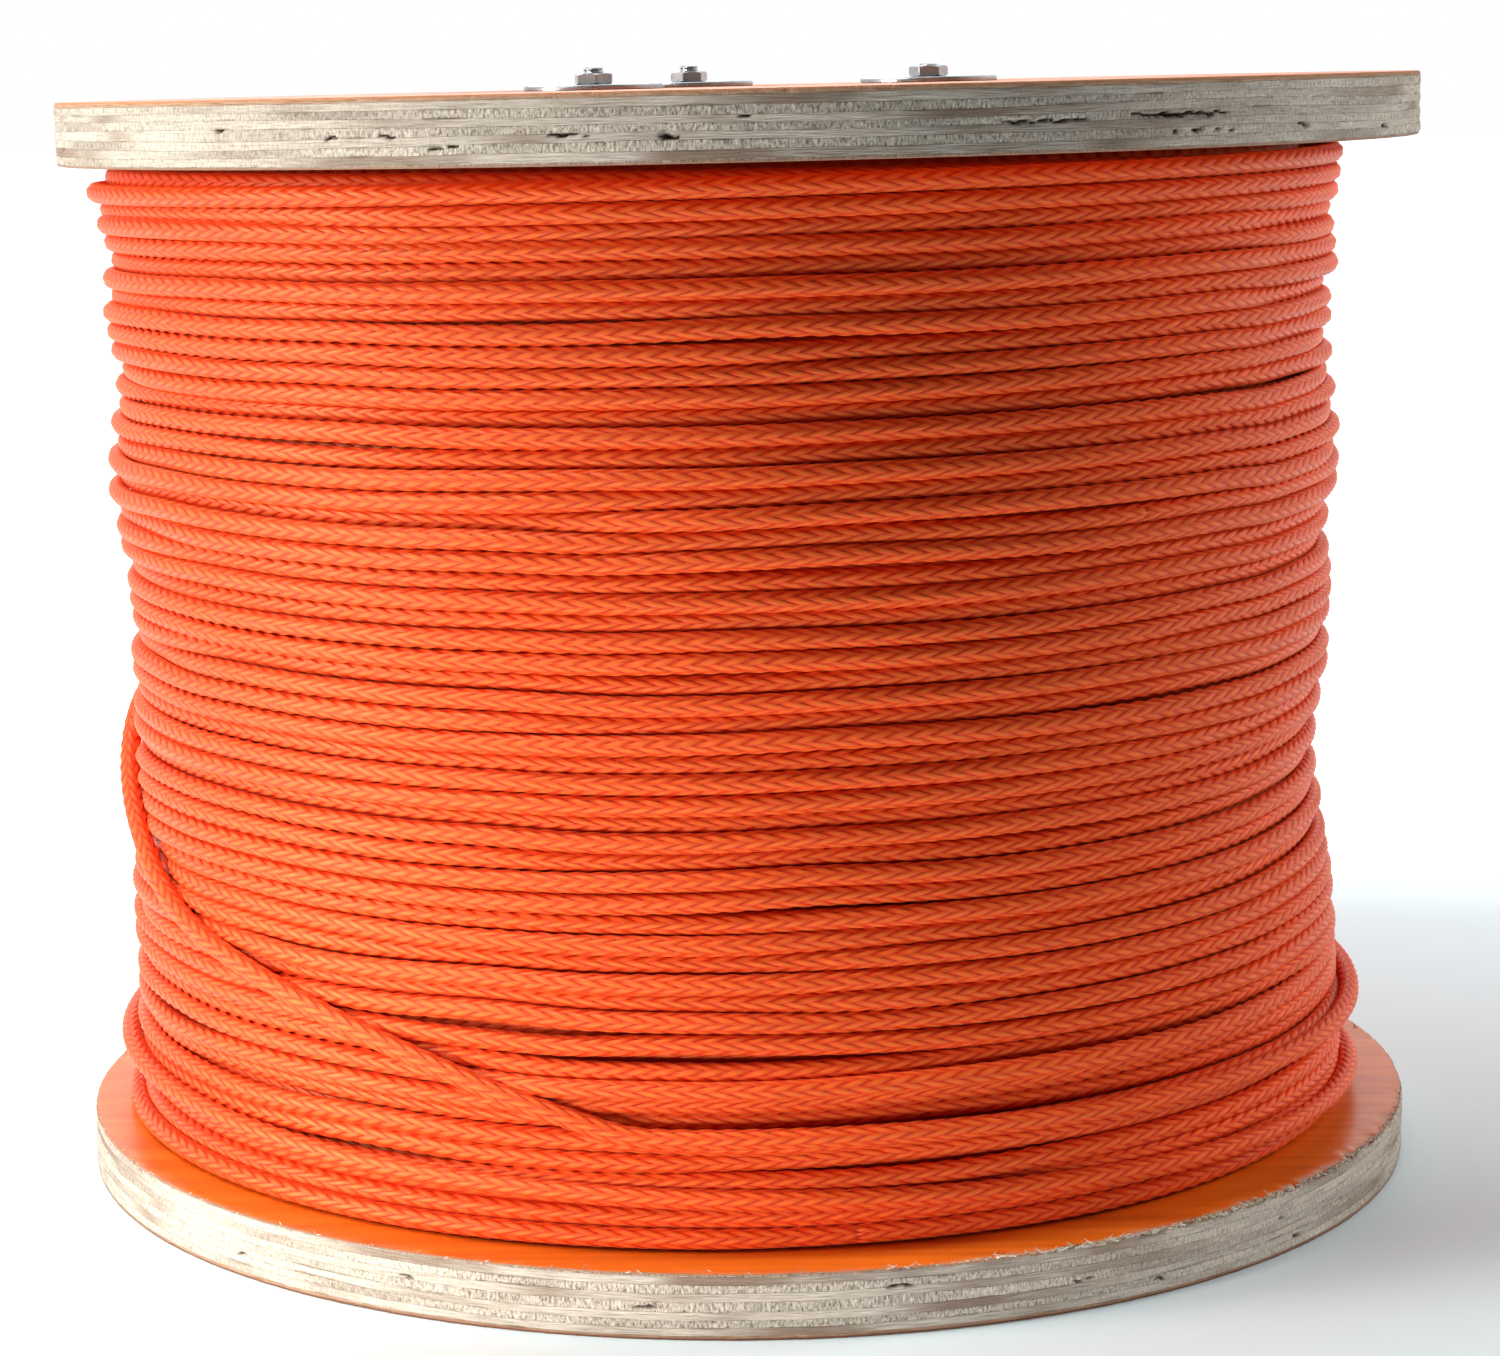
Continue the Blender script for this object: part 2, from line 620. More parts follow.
class Graph:
    """Nodes of a material or of the world, with short ways to add and join them."""

    def __init__(self, name, world=False):
        self.owner = (bpy.data.worlds if world else bpy.data.materials).new(name)
        self.owner.use_nodes = True
        self.tree = self.owner.node_tree
        self.shader = self.tree.nodes["Background" if world else "Principled BSDF"]

    def put(self, socket, value):
        if isinstance(value, bpy.types.NodeSocket):
            self.tree.links.new(value, socket)
        else:
            socket.default_value = value

    def node(self, kind, inputs=(), **settings):
        made = self.tree.nodes.new("ShaderNode" + kind)
        for key, value in settings.items():
            setattr(made, key, value)
        for key, value in dict(inputs).items():
            self.put(made.inputs[key], value)
        return made

    def math(self, operation, *values):
        return self.node("Math", enumerate(values), operation=operation).outputs[0]

    def times(self, a, b):
        return self.math("MULTIPLY", a, b)

    def plus(self, a, b):
        return self.math("ADD", a, b)

    def minus(self, a, b):
        return self.math("SUBTRACT", a, b)

    def scaled(self, value, factor, offset):
        return self.math("MULTIPLY_ADD", value, factor, offset)

    def choose(self, factor, a, b):
        """Number a where the factor is 0, and b where it is 1."""
        return self.node("Mix", {0: factor, 2: a, 3: b}).outputs[0]

    def distance(self, x, y):
        return self.math("SQRT", self.plus(self.times(x, x), self.times(y, y)))

    def remap(self, value, low, high, to_low, to_high):
        keys = ("Value", "From Min", "From Max", "To Min", "To Max")
        values = (value, low, high, to_low, to_high)
        return self.node("MapRange", zip(keys, values)).outputs[0]

    def vector(self, x, y, z=0.0):
        return self.node("CombineXYZ", {0: x, 1: y, 2: z}).outputs[0]

    def stretched(self, parts, factors):
        """Vector of parts, each times its own factor."""
        return self.vector(*(self.times(part, factor) for part, factor in zip(parts, factors)))

    def axes(self, vector):
        return self.node("SeparateXYZ", {0: vector}).outputs

    def place(self):
        return self.node("TexCoord").outputs["Object"]

    def uv(self):
        u, v, _ = self.axes(self.node("UVMap", uv_map="UVMap").outputs[0])
        return u, v

    def attribute(self, name):
        return self.node("Attribute", attribute_name=name).outputs["Fac"]

    def noise(self, vector, scale=1.0, detail=3.0, rough=0.5):
        inputs = {"Vector": vector, "Scale": scale, "Detail": detail, "Roughness": rough}
        return self.node("TexNoise", inputs).outputs["Fac"]

    def ramp(self, factor, stops):
        made = self.node("ValToRGB", {"Fac": factor})
        elements = made.color_ramp.elements
        while len(elements) < len(stops):
            elements.new(0.5)
        for element, (position, colour) in zip(elements, stops):
            element.position = position
            element.color = (*colour, 1)
        return made.outputs["Color"]

    def mix(self, factor, a, b, blend="MIX"):
        made = self.node("Mix", {"Factor": factor}, data_type="RGBA", blend_type=blend)
        for socket, value in ((made.inputs[6], a), (made.inputs[7], b)):
            self.put(socket, value if isinstance(value, bpy.types.NodeSocket) else (*value, 1))
        return made.outputs[2]

    def toned(self, colour, *tones):
        """The colour, darkened or lightened by the product of the tones."""
        tone = tones[0]
        for other in tones[1:]:
            tone = self.times(tone, other)
        return self.mix(1.0, colour, self.vector(tone, tone, tone), "MULTIPLY")

    def finish(self, relief=None, depth=0.0, **inputs):
        """Set the shader's inputs, with a bump from a relief whose full height is the depth."""
        if relief is not None:
            bump = {"Height": relief, "Distance": depth, "Strength": 1.0}
            inputs["normal"] = self.node("Bump", bump).outputs[0]
        for key, value in inputs.items():
            self.put(self.shader.inputs[key.replace("_", " ").title().replace("Ior", "IOR")], value)
        return self.owner


# Colours along each ramp: position and colour of its stops
LONG_GRAIN = [(0.30, (0.38, 0.30, 0.24)), (0.45, (0.58, 0.50, 0.43)), (0.62, (0.79, 0.71, 0.63))]
END_GRAIN = [(0.36, (0.16, 0.105, 0.07)), (0.46, (0.50, 0.43, 0.36)), (0.61, (0.86, 0.78, 0.69))]
SKIN_GRAIN = [(0.35, (0.42, 0.22, 0.13)), (0.6, (0.68, 0.45, 0.31))]
VARNISH = [(0.3, (0.64, 0.125, 0.007)), (0.5, (0.82, 0.185, 0.010)), (0.72, (0.93, 0.26, 0.02))]
BARE_WOOD = [(0.3, (0.30, 0.17, 0.09)), (0.55, (0.62, 0.50, 0.36)), (0.75, (0.82, 0.76, 0.66))]
TORN_WOOD = [(0.34, (0.34, 0.22, 0.13)), (0.46, (0.66, 0.57, 0.45)), (0.6, (0.86, 0.82, 0.74))]
ZINC = [(0.3, (0.34, 0.37, 0.40)), (0.55, (0.50, 0.53, 0.56)), (0.75, (0.60, 0.61, 0.59))]
BOARD = [(0.3, (0.20, 0.13, 0.075)), (0.55, (0.34, 0.23, 0.14)), (0.75, (0.47, 0.34, 0.22))]
SLEEVE = [(0.3, (0.012, 0.012, 0.013)), (0.7, (0.04, 0.04, 0.042))]
# The braid between its strands, on them, and where they stand highest
ROPE_CREVICE, ROPE_FACE, ROPE_CREST = (0.22, 0.005, 0.003), (0.78, 0.043, 0.007), (0.96, 0.17, 0.030)


def rope_material():
    """Sixteen-strand braid in a satin coating, with its strands, fibres and dark crevices."""
    g = Graph("braided_rope")
    u, w = g.uv()
    p, q = g.times(g.minus(u, w), STRANDS), g.times(g.plus(u, w), STRANDS)
    i, j = g.math("FLOOR", p), g.math("FLOOR", q)

    def strand(own, other, number, sign):
        """Relief of one strand, as braid_relief has it."""
        wave = g.math("SINE", g.times(g.plus(other, number), sign * math.pi / 2))
        off = g.math("ABSOLUTE", g.scaled(g.math("FRACT", own), 2.0, -1.0))
        rounding = g.minus(1.0, g.math("POWER", off, ROUND_POWER))
        return g.scaled(wave, WAVE, g.times(rounding, ROUND))

    one, two = strand(p, q, i, 1), strand(q, p, j, -1)
    upper = g.math("GREATER_THAN", one, two)
    height = g.math("MAXIMUM", one, two)
    # Fibres run along the upper strand, so they are drawn across its own number
    across, length = g.choose(upper, q, p), g.choose(upper, p, q)
    fibres = g.noise(g.stretched((across, length, upper), (9.0, 0.7, 1.0)), detail=2.0)
    number = g.vector(g.math("FLOOR", across), upper)
    strands = g.node("TexWhiteNoise", {"Vector": number}, noise_dimensions="3D").outputs["Value"]
    patches = g.noise(g.place(), 9.0)
    dips = g.remap(height, -0.02, 0.26, 0.0, 1.0)
    crests = g.remap(height, 0.34, 0.64, 0.0, 0.75)
    colour = g.mix(crests, g.mix(dips, ROPE_CREVICE, ROPE_FACE), ROPE_CREST)
    tones = g.scaled(fibres, 0.3, 0.84), g.scaled(strands, 0.14, 0.93), g.scaled(patches, 0.3, 0.86)
    return g.finish(
        g.scaled(fibres, 0.12, height),
        0.0005,
        base_color=g.toned(colour, *tones),
        roughness=g.scaled(patches, 0.16, 0.36),
        specular_ior_level=0.55,
        specular_tint=(1.0, 0.82, 0.42, 1.0),
        sheen_weight=0.05,
        sheen_roughness=0.35,
        sheen_tint=(1.0, 0.86, 0.72, 1.0),
    )


def ply_edge_material():
    """Sawn edge of plywood: pale plies, glue lines, end grain that turns with the bearing."""
    g = Graph("ply_edge")
    x, y, z = g.axes(g.place())
    number = g.attribute("ply")
    index = g.math("FLOOR", number)
    along_x = g.math("DIVIDE", x, g.distance(x, y))
    even = g.times(along_x, along_x)
    end_grain = g.choose(g.math("FLOORED_MODULO", index, 2.0), even, g.minus(1.0, even))
    arc = g.times(g.math("ARCTAN2", y, x), FLANGE_R)
    tall = g.times(number, PLY_T)
    streaks = g.noise(g.stretched((arc, tall, index), (0.11, 2.6, 1.0)), 1.0, 5.0, 0.62)
    pores = g.noise(g.stretched((arc, tall, index), (1.5, 0.55, 1.0)), 1.0, 5.0, 0.75)
    bands = g.noise(g.stretched((arc, index), (0.018, 5.3)), detail=2.0)
    colour = g.mix(end_grain, g.ramp(streaks, LONG_GRAIN), g.ramp(pores, END_GRAIN))
    colour = g.toned(colour, g.remap(bands, 0.3, 0.7, 0.92, 1.32))
    heart = g.times(g.remap(bands, 0.5, 0.36, 0.0, 0.7), g.minus(1.0, end_grain))
    colour = g.mix(heart, colour, (0.28, 0.16, 0.10))
    colour = g.mix(g.math("LESS_THAN", number, 0.0), colour, g.ramp(streaks, SKIN_GRAIN))
    # Varnish runs over the outer arris, and the veneer at the other face is dark
    glazed = g.remap(number, (0.25 - SKIN_T) / PLY_T, (ARRIS - SKIN_T) / PLY_T, 0.85, 0.0)
    colour = g.mix(glazed, colour, (0.80, 0.30, 0.12))
    last_ply = g.math("GREATER_THAN", number, (FLANGE_T - ARRIS - SKIN_T) / PLY_T)
    colour = g.mix(g.times(last_ply, 0.75), colour, (0.44, 0.20, 0.11))
    seam = g.math("ABSOLUTE", g.minus(g.math("FRACT", number), 0.5))
    broken = g.noise(g.stretched((arc, index), (0.2, 1.0)))
    seam = g.times(g.remap(seam, 0.45, 0.5, 0.0, 1.0), g.remap(broken, 0.42, 0.62, 0.1, 0.85))
    colour = g.mix(seam, colour, (0.16, 0.095, 0.055))
    colour = g.mix(g.attribute("hollow"), colour, (0.07, 0.032, 0.018))
    # The arris that the reel stands on is dark with dirt
    colour = g.mix(g.remap(z, 0.0003, 0.0013, 0.85, 0.0), colour, (0.13, 0.035, 0.02))
    relief = g.minus(g.choose(end_grain, streaks, pores), g.times(seam, 0.3))
    return g.finish(relief, 0.0009, base_color=colour, roughness=0.8, specular_ior_level=0.25)


def ply_face_material():
    """Varnished face: orange glaze over faint grain along X, glossy, with scuffs."""
    g = Graph("varnished_face")
    position = g.place()
    place = g.axes(position)
    grain = g.noise(g.stretched(place, (6.0, 160.0, 20.0)), 1.0, 6.0, 0.62)
    broad = g.noise(g.stretched(place[:2], (3.0, 26.0)))
    fibres = g.noise(g.stretched(place[:2], (60.0, 900.0)), 1.0, 4.0, 0.7)
    scuffs = g.noise(position, 45.0, 5.0, 0.7)
    bare = g.attribute("hollow")
    colour = g.toned(g.ramp(grain, VARNISH), g.scaled(broad, 0.36, 0.82))
    return g.finish(
        g.plus(grain, g.times(scuffs, 0.3)),
        0.00012,
        base_color=g.mix(bare, colour, g.ramp(fibres, BARE_WOOD)),
        roughness=g.scaled(bare, 0.4, g.scaled(scuffs, 0.22, 0.28)),
        specular_ior_level=0.4,
        coat_weight=0.35,
        coat_roughness=0.25,
    )


def zinc_material():
    """Bright zinc plate with fine scratches and a faint blue-yellow cast in patches."""
    g = Graph("zinc_plate")
    position = g.place()
    cloud = g.noise(position, 90.0, 4.0, 0.6)
    scratched = g.node("Mapping", {"Vector": position, "Scale": (900, 120, 900)}).outputs[0]
    relief = g.scaled(g.noise(scratched), 0.5, cloud)
    rough = g.scaled(cloud, 0.22, 0.16)
    return g.finish(relief, 0.00008, base_color=g.ramp(cloud, ZINC), metallic=1.0, roughness=rough)


def torn_wood_material():
    """Torn wood fibres: pale slivers with browner roots."""
    g = Graph("torn_wood")
    fibres = g.noise(g.place(), 700.0, 4.0, 0.6)
    colour = g.ramp(fibres, TORN_WOOD)
    return g.finish(fibres, 0.0002, base_color=colour, roughness=0.8, specular_ior_level=0.2)


def board_material():
    """Spirally wound paperboard: grey-brown fibres and the helical seam of its outer ply."""
    g = Graph("paperboard")
    position = g.place()
    x, y, z = g.axes(position)
    turn = g.math("DIVIDE", g.math("ARCTAN2", y, x), 2 * math.pi)
    lap = g.math("FRACT", g.plus(turn, g.math("DIVIDE", z, 0.11)))
    seam = g.remap(g.math("ABSOLUTE", g.minus(lap, 0.5)), 0.0, 0.008, 1.0, 0.0)
    fibres = g.noise(position, 420.0, 6.0, 0.65)
    colour = g.toned(g.ramp(fibres, BOARD), g.scaled(g.noise(position, 24.0), 0.4, 0.8))
    colour = g.mix(seam, colour, (0.09, 0.055, 0.03))
    return g.finish(g.minus(fibres, seam), 0.0003, base_color=colour, roughness=0.85)


def sleeve_material():
    """Black shrink sleeve, a little chalky where it stretches."""
    g = Graph("shrink_sleeve")
    cloud = g.noise(g.place(), 160.0, 4.0)
    rough = g.scaled(cloud, 0.25, 0.32)
    return g.finish(cloud, 0.0002, base_color=g.ramp(cloud, SLEEVE), roughness=rough)


def tape_material():
    """Cloth packing tape: a fine square weave under a satin film."""
    g = Graph("cloth_tape")
    thread = 0.8
    waves = [g.math("SINE", g.times(way, math.pi / thread)) for way in g.uv()]
    weave = g.times(*(g.math("ABSOLUTE", wave) for wave in waves))
    colour = g.mix(weave, (0.36, 0.29, 0.16), (0.58, 0.49, 0.31))
    colour = g.toned(colour, g.scaled(g.noise(g.place(), 60.0, 4.0), 0.4, 0.8))
    return g.finish(weave, 0.0002, base_color=colour, roughness=0.42, coat_weight=0.15)


# ---------------------------------------------------------------- winding

END_STRAIGHT = 26.0
SLEEVE_L = 25.0
SLEEVE_WALL = 0.4
# The outer layer is cut into this many pieces, only for their size
OUTER_PIECES = 6
UNDER_SPACING = 3.0
UNDER_SIDES = 12
UNDER_R = 2.95
# Turns by which the braid twists for each turn of the winding
TWIST = 0.21


def outward_of(points):
    return unit(points * np.array([1, 1, 0]))


def wind_rope(material):
    """All turns that show, and the pack beneath them."""
    z_under, r_under = under_layer()
    z, r = outer_layer()
    outer_count = len(z)
    # The first turn rises from the layer beneath
    lead = smooth(np.arange(outer_count) / SAMPLES / 0.12)
    z, r = last_turns(z, r_under[-1] * (1 - lead) + r * lead)
    turns = np.arange(len(z)) / SAMPLES
    line = cylinder_points(turns, z, r)
    turns_at, z_at, r_at = resample(line, RING_STEP, [turns, z, r])
    points = lean(cylinder_points(turns_at, blur(z_at, 2), blur(r_at, 2)))
    rope_end = points[-1]
    ahead = unit(points[-1] - points[-2])
    steps = np.arange(1, int(END_STRAIGHT / RING_STEP))
    points = np.concatenate([points, rope_end + ahead * (steps[:, None] * RING_STEP)])
    turns_at = np.concatenate([turns_at, np.full(len(steps), turns_at[-1])])
    at = np.arange(len(points)) * RING_STEP
    twist = TWIST * turns_at + 0.12 * noise_line(at / 1130, 0.4, seed=21)
    swell = 1 + 0.02 * noise_line(at, 60, seed=22)
    outward = outward_of(points)
    split = int(np.searchsorted(turns_at, (outer_count - 1) / SAMPLES))
    cuts = np.linspace(0, split, OUTER_PIECES + 1).astype(int)
    parts = [(f"rope_outer_turns_{k + 1}", cuts[k], cuts[k + 1] + 2) for k in range(OUTER_PIECES)]
    parts.append(("rope_last_turns", split, len(points)))
    for name, first, last in parts:
        part = slice(first, last)
        tube = points[part], outward[part], material, first, twist[part], swell[part]
        place(braid_tube(name, *tube), "braided_rope", "rope_outer_layer")

    turns_under = np.arange(len(z_under)) / SAMPLES - UNDER_TURNS
    line_under = cylinder_points(turns_under, z_under, r_under)
    lower = resample(line_under, UNDER_SPACING, [turns_under, z_under, r_under])
    lower = lean(cylinder_points(*lower))
    half = len(lower) // 2
    for k, part in enumerate((lower[: half + 1], lower[half:])):
        name = f"rope_under_turns_{k + 1}"
        tube = plain_tube(name, part, outward_of(part), material, UNDER_SIDES, UNDER_R)
        place(tube, "braided_rope", "rope_inner_layers")
    place(rope_pack(material), "braided_rope", "rope_inner_layers")
    return z, r, rope_end, ahead


def rope_pack(material):
    """The turns below, as one body with a ridge for each turn."""
    pitch, steps, sides, inner = 6.1, 4, 180, BARREL_R + ROPE_GAP
    ridge_h, sunk = 1.3, UNDER_DROP + 4.2
    z = np.arange(FLANGE_T, INNER_TOP + 0.01, pitch / steps)
    z[-1] = INNER_TOP
    ridge = ridge_h * np.abs(np.sin(np.pi * (z - FLANGE_T) / pitch))
    r = along(OUTER_SHAPE, z) - sunk + ridge
    z = np.concatenate([z, [INNER_TOP, FLANGE_T]])
    r = np.concatenate([r, [inner, inner]])
    shift = np.where(r > inner, along(PACK_SHIFT, z), 0)
    rings = [
        np.column_stack([circle(ring_r, sides, (-ring_shift, 0)), np.full(sides, height)])
        for ring_r, ring_shift, height in zip(r, shift, z)
    ]
    quads = ring_strips(len(z), sides, closed_rows=True)
    u = np.arange(sides)[None, :] * 2 * math.pi * (OUTER_SHAPE[0][1] - UNDER_DROP) / LAY / sides
    v = np.arange(len(z))[:, None] / steps / 2
    up = v + 1 / (2 * steps)
    quad_uv = corner_map([u] * 4, [v, up, up, v])
    return build("rope_pack", lean(np.concatenate(rings)), [quads], [material], uvs=[quad_uv])


def make_sleeve(end, ahead, material):
    """Shrink sleeve over the rope's end: it takes the braid's bumps and narrows past the cut."""
    sides, rings = 36, 60
    across = unit(np.cross(ahead, [0, 0, 1]))
    third = np.cross(ahead, across)
    u = (np.arange(rings + 1) / rings)[:, None]
    bumps = noise_band(np.arange(sides)[None, :] / sides * 9, u * 12, 9, seed=31)
    radius = ROPE_D / 2 + SLEEVE_WALL + 0.10 * bumps
    radius = radius + 0.18 * np.exp(-((u / 0.03) ** 2)) - 0.5 * smooth((u - 0.93) / 0.07)
    inner = np.full((1, sides), ROPE_D / 2 - 0.5)
    radius = np.concatenate([inner + 0.4, radius, inner])
    reach = np.concatenate([[0.4], u[:, 0] * SLEEVE_L, [SLEEVE_L - 2.5]])
    x, y = circle(1.0, sides).T[..., None]
    points = end + reach[:, None, None] * ahead + radius[..., None] * (x * across + y * third)
    quads = ring_strips(len(reach), sides, closed_rows=True)
    sleeve = build("shrink_sleeve_tube", points.reshape(-1, 3), [quads], [material])
    place(sleeve, "shrink_sleeve", "rope_end_sleeve")


TAPE_W = 22.0
TAPE_L = 72.0
TAPE_T = 0.45
# Steps of its grid across and along, and how tightly it can bend over a turn of rope
TAPE_GRID = (45, 145)
TAPE_BEND = 9.0
# The rope is felt this far past the tape's ends, and a row has no say beside itself
TAPE_MARGIN = 12
BESIDE = -50


def make_tape(z, r, end, ahead, material):
    """Cloth tape pressed over the sleeve and onto the turns around it, with cut ends."""
    middle_at = end + ahead * SLEEVE_L / 2
    mid_r, mid_z = math.hypot(middle_at[0], middle_at[1]), middle_at[2]
    mid_bearing = math.degrees(math.atan2(middle_at[1], middle_at[0]))
    across = np.linspace(-TAPE_W / 2, TAPE_W / 2, TAPE_GRID[0])
    upright = np.linspace(-TAPE_L / 2, TAPE_L / 2, TAPE_GRID[1])
    wide = np.linspace(-TAPE_L / 2 - TAPE_MARGIN, TAPE_L / 2 + TAPE_MARGIN, 385)
    turns = np.arange(len(z)) / SAMPLES

    def tops(centre_z, centre_r, radius):
        """Reach of round rows at the heights of wide, with nothing beside a row."""
        off = wide[:, None] + mid_z - centre_z
        bulge = np.sqrt(np.maximum(radius**2 - off**2, 0))
        return centre_r + bulge + BESIDE * (np.abs(off) > radius)

    surface = np.empty(TAPE_GRID)
    for k, step in enumerate(across):
        bearing = mid_bearing + math.degrees(step / mid_r)
        crossings = np.arange((START_BEARING - bearing) % 360 / 360, turns[-1], 1.0)
        turned = math.radians(bearing)
        row_z, row_r = np.interp(crossings, turns, z), np.interp(crossings, turns, r)
        row_r -= along(PACK_SHIFT, row_z) * math.cos(turned)
        rows_at = np.stack([row_r * math.cos(turned), row_r * math.sin(turned), row_z], -1)
        top = tops(lean(rows_at)[None, :, 2], row_r[None, :], ROPE_D / 2).max(1)
        # The sleeve is straight, so it stands farther out at its ends
        turned = math.radians(bearing - mid_bearing)
        along_sleeve = math.tan(turned) * mid_r / math.hypot(ahead[0], ahead[1])
        sleeve_z, sleeve_r = mid_z + ahead[2] * along_sleeve, mid_r / math.cos(turned)
        over = tops(sleeve_z, sleeve_r, ROPE_D / 2 + SLEEVE_WALL + 0.1)[:, 0]
        reach = wide[:, None] - wide[None, :]
        draped = np.maximum(top, over)[None, :] - reach**2 / (2 * TAPE_BEND)
        surface[k] = np.interp(upright, wide, blur(draped.max(1), 5))
    surface = np.stack([blur(surface[:, j], 2) for j in range(len(upright))], 1)
    # Wrinkles, and lifted corners
    grid_x, grid_z = np.meshgrid(across, upright, indexing="ij")
    surface += 0.12 * (1 + noise_band(grid_x / 6, grid_z / 5, 64, seed=33))
    from_end = np.abs(grid_z) - TAPE_L / 2
    surface += 0.9 * smooth((from_end + 7) / 7) * smooth((grid_x - TAPE_W / 2 + 6) / 6)
    rag = 0.25 * noise_line(grid_x, 0.8, seed=34)
    z_place = mid_z + grid_z + rag * smooth((from_end + 1.5) / 1.5)
    bearing = np.radians(mid_bearing) + grid_x / mid_r
    layers = []
    for lift in (0.06, 0.06 + TAPE_T):
        reach = surface + lift
        layer = np.stack([reach * np.cos(bearing), reach * np.sin(bearing), z_place], -1)
        layers.append(layer.reshape(-1, 3))
    n, m = TAPE_GRID
    number = np.arange(n * m).reshape(n, m)
    a = number[:-1, :-1].ravel()
    outer = np.stack([a, a + m, a + m + 1, a + 1], -1) + n * m
    inner = np.stack([a, a + 1, a + m + 1, a + m], -1)
    sides = [number[:, 0], number[-1, 1:], number[-2::-1, -1], number[0, -2:0:-1]]
    rim = np.concatenate(sides)
    after = np.roll(rim, -1)
    edge = np.stack([rim, after, after + n * m, rim + n * m], -1)
    flat = np.tile(np.stack([grid_x, grid_z], -1).reshape(-1, 2), (2, 1))
    faces = [outer, inner, edge]
    uvs = [flat[f.ravel()] for f in faces]
    tape = build("cloth_tape_strip", np.concatenate(layers), faces, [material], uvs=uvs)
    place(tape, "cloth_tape", "rope_end_tape")


def make_knot(material):
    """Overhand knot inside the barrel, pulled tight, with the rope coming through the hole."""
    centre = centre_of("rope_start_knot")
    out = unit(centre * np.array([1, 1, 0]))
    side = np.array([-out[1], out[0], 0])
    up = np.array([0.0, 0, 1])
    size, squeeze = 2.05, 0.72
    knot_r = BARREL_R - BARREL_WALL - 8.0
    t = np.linspace(0.62 * np.pi, 2.42 * np.pi, 160)
    loop = [np.sin(t) + 2 * np.sin(2 * t), np.cos(t) - 2 * np.cos(2 * t), -np.sin(3 * t)]
    loop = size * np.stack(loop, -1)
    lead = np.array([[0, 0, 14.5], [0, 0, 10], [0.2, 0.6, 7.0]])
    tail = loop[-1] + unit(loop[-1] - loop[-2]) * np.array([[3.0], [7.0]])
    tail[:, 2] -= np.array([1.0, 2.5])
    path = np.concatenate([lead, loop[::6], loop[-1:], tail])
    path = np.stack([blur(line, 2) for line in resample(path, 0.8 * RING_STEP, path.T)], -1)
    points = out * knot_r + up * centre[2] + path @ np.stack([side, up, out])
    outward = np.tile(out + 0.3 * up + 0.2 * side, (len(points), 1))
    knot = braid_tube("stopper_knot", points, outward, material, scale=squeeze)
    place(knot, "braided_rope", "rope_start_knot")


# ---------------------------------------------------------------- flanges

# Thickness of the face veneer and of each ply below it, and reach of the worn arris
SKIN_T = 1.4
PLY_T = 2.25
ARRIS = 0.7
RIM_BEARINGS = 1800
# Each face is flat inside the first of these radii, and has a ring of points at each
FACE_RADII = [187.0, 192.0, 195.0, 197.0, 198.2, 199.0, FLANGE_R - 0.6 * ARRIS]

# Gaps in the plies at the sawn edge: bearing, depth from the outer face, half length and height
TOP_GAPS = [
    (257.7, 10.6, 6.5, 0.5), (265.2, 11.4, 2.6, 0.8), (292.5, 9.8, 13, 0.5), (304.5, 9.1, 19, 0.5),
    (303, 9.3, 5.0, 0.7), (303.8, 13.2, 1.6, 0.4), (305.8, 13.3, 1.8, 0.4), (307.8, 13.1, 1.3, 0.5),
    (309.4, 13.4, 1.2, 0.4), (332, 14.4, 3.0, 0.6), (239, 10.2, 3.2, 0.4), (244, 10.0, 2.6, 0.4),
    (249, 12.9, 6.0, 0.35), (270.5, 6.4, 1.6, 0.4), (318, 13.0, 3.4, 0.5), (228, 7.6, 4.0, 0.4),
]
BOTTOM_GAPS = [
    (262, 8.6, 3.0, 0.4), (281, 12.8, 5.0, 0.4), (296, 8.4, 3.8, 0.5), (317, 10.6, 3.0, 0.5),
    (319, 4.2, 2.6, 0.6), (243, 10.7, 3.4, 0.4), (226, 6.4, 2.2, 0.4), (303, 4.4, 1.8, 0.5),
]
OTHER_GAPS = 16


def random_gaps(seed):
    """More gaps, for the sides that the photograph doesn't show."""
    rng = np.random.default_rng(seed)
    plies = SKIN_T + PLY_T * rng.integers(1, 7, OTHER_GAPS)
    bearings = rng.uniform(-10, 205, OTHER_GAPS) % 360
    lengths = rng.uniform(1, 5, OTHER_GAPS)
    return list(zip(bearings, plies, lengths, rng.uniform(0.35, 0.9, OTHER_GAPS)))


def ply_number(around, depth, seed):
    """Which ply, counted from the outer face, with the plies a little uneven in thickness."""
    warp = 0.85 * noise_band(around * 14, depth / 6, 14, seed)
    warp += 0.26 * noise_band(around * 60, depth / 3, 60, seed + 15)
    warp *= np.sin(np.pi * np.clip(depth / FLANGE_T, 0, 1))
    return (depth + warp - SKIN_T) / PLY_T


